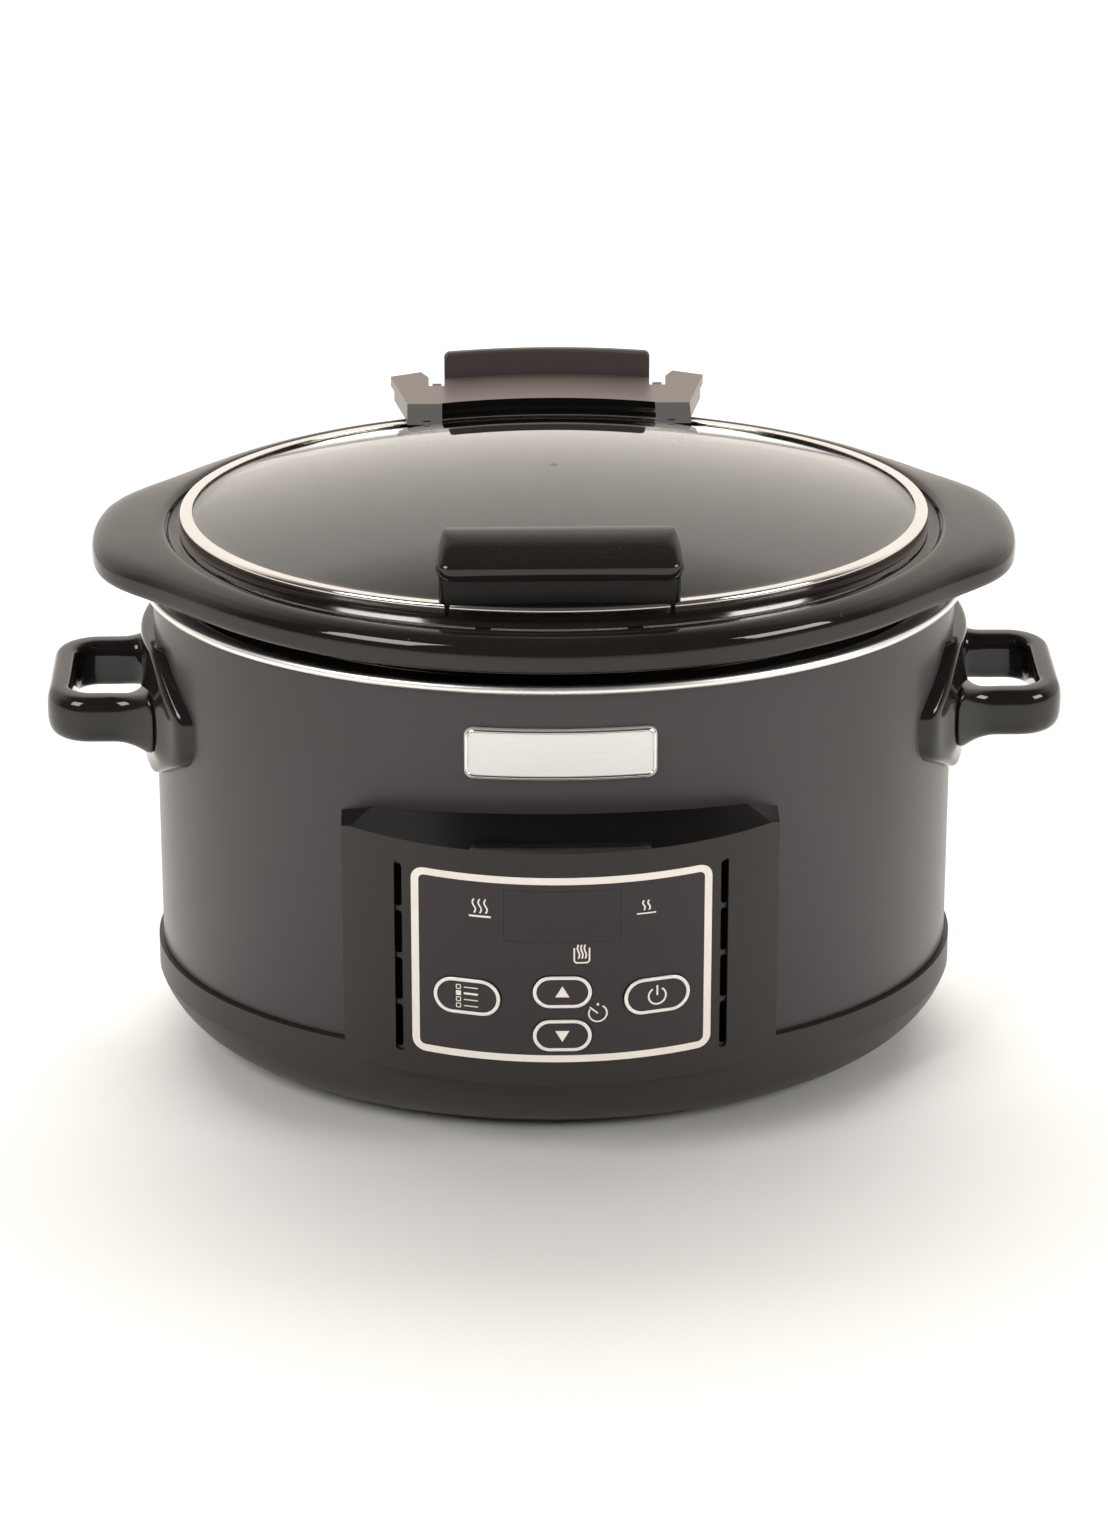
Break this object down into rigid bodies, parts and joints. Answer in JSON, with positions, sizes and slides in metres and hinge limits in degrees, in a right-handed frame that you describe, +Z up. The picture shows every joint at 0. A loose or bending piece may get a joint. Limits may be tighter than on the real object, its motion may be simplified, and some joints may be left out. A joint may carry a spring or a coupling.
{
  "type": "slow cooker",
  "caption": "Oval countertop slow cooker: stoneware crock in a heated housing, hinged glass lid, side handles and a digital control panel.",
  "frame": {"origin": "on the table, under the middle of the oval housing", "axes": "+Z up, the control panel faces -Y, the handles lie along X"},
  "size_m": [0.42, 0.3145, 0.256],
  "materials": {
    "charcoal_paint": "satin charcoal stoved paint",
    "black_plastic": "fine satin moulded black",
    "gloss_black": "polished black",
    "bright_trim": "polished rolled ring",
    "well_sheet": "plain rolled sheet",
    "steel": "zinc plated",
    "rim_steel": "polished stainless",
    "mica_heater": "mica-wound heating band",
    "insulation": "pale fibre blanket",
    "rubber": "dull black rubber",
    "circuit_board": "green solder mask",
    "pale_plastic": "natural nylon",
    "fascia_film": "fine matt film",
    "smoked_window": "smoked window level with the fascia",
    "button_plastic": "soft satin black",
    "badge_metal": "satin face with a polished bevel, blank",
    "stoneware": "high gloss black glaze",
    "lid_glass": "clear tempered glass",
    "hinge_plastic": "satin black, polished front wall"
  },
  "bodies": {
    "housing": {"base_tray": "black_plastic", "rubber_feet": "rubber", "outer_shell": "charcoal_paint", "trim_ring": "bright_trim", "inner_well": "well_sheet", "heater_band": "mica_heater", "heater_straps": "steel", "insulation_wrap": "insulation", "heat_shield": "well_sheet", "stud_spacers": "steel", "tie_studs": "steel", "stud_nuts": "steel", "temperature_probe": "steel", "probe_holder": "steel", "thermal_fuse": "bright_trim", "power_board": "circuit_board", "transformer": "black_plastic", "power_relay": "black_plastic", "terminal_block": "pale_plastic", "board_screws": "steel", "cord_gland": "black_plastic", "panel_housing": "black_plastic", "control_fascia": "fascia_film", "display_window": "smoked_window", "control_board": "circuit_board", "display_module": "pale_plastic", "tact_switches": "black_plastic", "ribbon_cable": "pale_plastic", "panel_screws": "steel", "badge": "badge_metal", "handle_right": "gloss_black", "handle_left": "gloss_black", "handle_screws": "steel", "hinge_bracket": "black_plastic", "bracket_screws": "steel"},
    "button_menu": {"button_menu": "button_plastic"},
    "button_up": {"button_up": "button_plastic"},
    "button_down": {"button_down": "button_plastic"},
    "button_power": {"button_power": "button_plastic"},
    "crock": {"crock": "stoneware"},
    "lid": {"lid_glass": "lid_glass", "lid_rim": "rim_steel", "knob_base": "gloss_black", "knob_grip": "gloss_black", "knob_screws": "steel", "hinge_carrier": "hinge_plastic", "hinge_pins": "steel", "carrier_clamps": "steel", "carrier_screws": "steel"}
  },
  "joints": [
    {"name": "press_menu", "type": "slide", "parent": "housing", "child": "button_menu", "axis": [0.2806, 0.9598, 0], "range_m": [0, 0.0008], "stiffness_N_per_m": 400},
    {"name": "press_up", "type": "slide", "parent": "housing", "child": "button_up", "axis": [0, 1, 0], "range_m": [0, 0.0008], "stiffness_N_per_m": 400},
    {"name": "press_down", "type": "slide", "parent": "housing", "child": "button_down", "axis": [0, 1, 0], "range_m": [0, 0.0008], "stiffness_N_per_m": 400},
    {"name": "press_power", "type": "slide", "parent": "housing", "child": "button_power", "axis": [-0.2806, 0.9598, 0], "range_m": [0, 0.0008], "stiffness_N_per_m": 400},
    {"name": "crock_lift", "type": "slide", "parent": "housing", "child": "crock", "axis": [0, 0, 1], "range_m": [0, 0.17]},
    {"name": "lid_hinge", "type": "hinge", "parent": "crock", "child": "lid", "pos_m": [0, 0.142, 0.233], "axis": [-1, 0, 0], "range_deg": [0, 90]}
  ]
}
